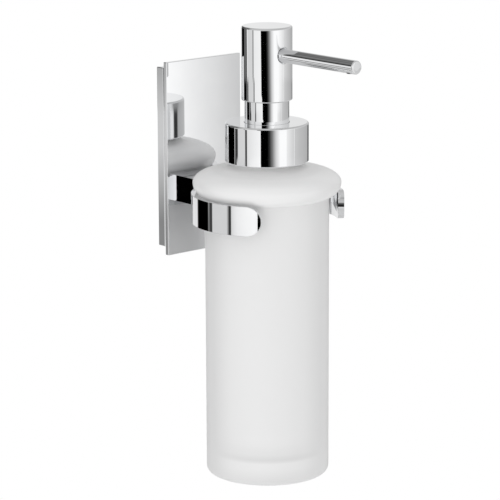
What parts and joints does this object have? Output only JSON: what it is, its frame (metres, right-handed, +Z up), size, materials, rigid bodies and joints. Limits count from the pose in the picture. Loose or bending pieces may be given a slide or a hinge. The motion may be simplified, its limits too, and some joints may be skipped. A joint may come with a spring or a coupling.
{
  "type": "wall mounted soap dispenser",
  "caption": "Chrome wall bracket with an open ring that holds a flanged frosted glass bottle, and a chrome lotion pump with a straight spout.",
  "frame": {"origin": "centre of the wall bracket's back face, on the wall plane", "axes": "+Y into the wall, -Y out of the wall along the spout, +Z up, +X to the right for someone facing the wall"},
  "size_m": [0.074, 0.1192, 0.2204],
  "materials": {
    "chrome": "mirror polished",
    "bracket_steel": "plain zinc plated",
    "screw_steel": "plain",
    "black_rubber": "matt",
    "black_plastic": "matt",
    "frosted_glass": "satin frosted, almost opaque white",
    "white_plastic": "semi gloss",
    "clear_plastic": "translucent"
  },
  "bodies": {
    "holder": {"wall_bracket": "bracket_steel", "backing_shell": "chrome", "plate_spacer": "black_plastic", "face_plate": "chrome", "arm": "chrome", "c_ring": "chrome", "arm_screw_left": "screw_steel", "arm_screw_right": "screw_steel", "frame_screw_upper": "screw_steel", "frame_screw_lower": "screw_steel", "set_screw": "screw_steel"},
    "bottle": {"glass_bottle": "frosted_glass"},
    "pump": {"pump_housing": "white_plastic", "neck_gasket": "black_rubber", "housing_cap": "white_plastic", "guide_sleeve": "chrome", "dip_tube": "clear_plastic", "inlet_cage": "white_plastic", "return_spring": "screw_steel"},
    "collar": {"collar_shell": "chrome", "collar_liner": "white_plastic"},
    "stem": {"pump_stem": "white_plastic", "piston": "white_plastic"},
    "head": {"head_shell": "chrome", "head_core": "white_plastic", "spout_tube": "chrome", "spout_liner": "white_plastic", "spout_nozzle": "black_plastic"},
    "inlet_ball": {"inlet_ball": "screw_steel"},
    "outlet_ball": {"discharge_ball": "screw_steel"}
  },
  "joints": [
    {"name": "bottle_lift", "type": "slide", "parent": "holder", "child": "bottle", "axis": [0, 0, 1], "range_m": [0, 0.15]},
    {"name": "pump_lift", "type": "slide", "parent": "bottle", "child": "pump", "axis": [0, 0, 1], "range_m": [0, 0.0075]},
    {"name": "collar_turn", "type": "hinge", "parent": "pump", "child": "collar", "pos_m": [0, -0.0568, 0.0125], "axis": [0, 0, 1], "range_deg": [0, 900]},
    {"name": "pump_press", "type": "slide", "parent": "pump", "child": "stem", "axis": [0, 0, -1], "range_m": [0, 0.01], "stiffness_N_per_m": 500, "springref_m": -0.012, "deforming": ["return_spring"]},
    {"name": "head_swivel", "type": "hinge", "parent": "stem", "child": "head", "pos_m": [0, -0.0568, 0.0555], "axis": [0, 0, 1], "range_deg": [-140, 140]},
    {"name": "inlet_ball_lift", "type": "slide", "parent": "pump", "child": "inlet_ball", "axis": [0, 0, 1], "range_m": [0, 0.0015]},
    {"name": "outlet_ball_lift", "type": "slide", "parent": "stem", "child": "outlet_ball", "axis": [0, 0, 1], "range_m": [0, 0.0012]}
  ],
  "couplings": [
    {"joint": "collar_turn", "follows": "pump_lift", "rad_per_m": 2094.4}
  ]
}
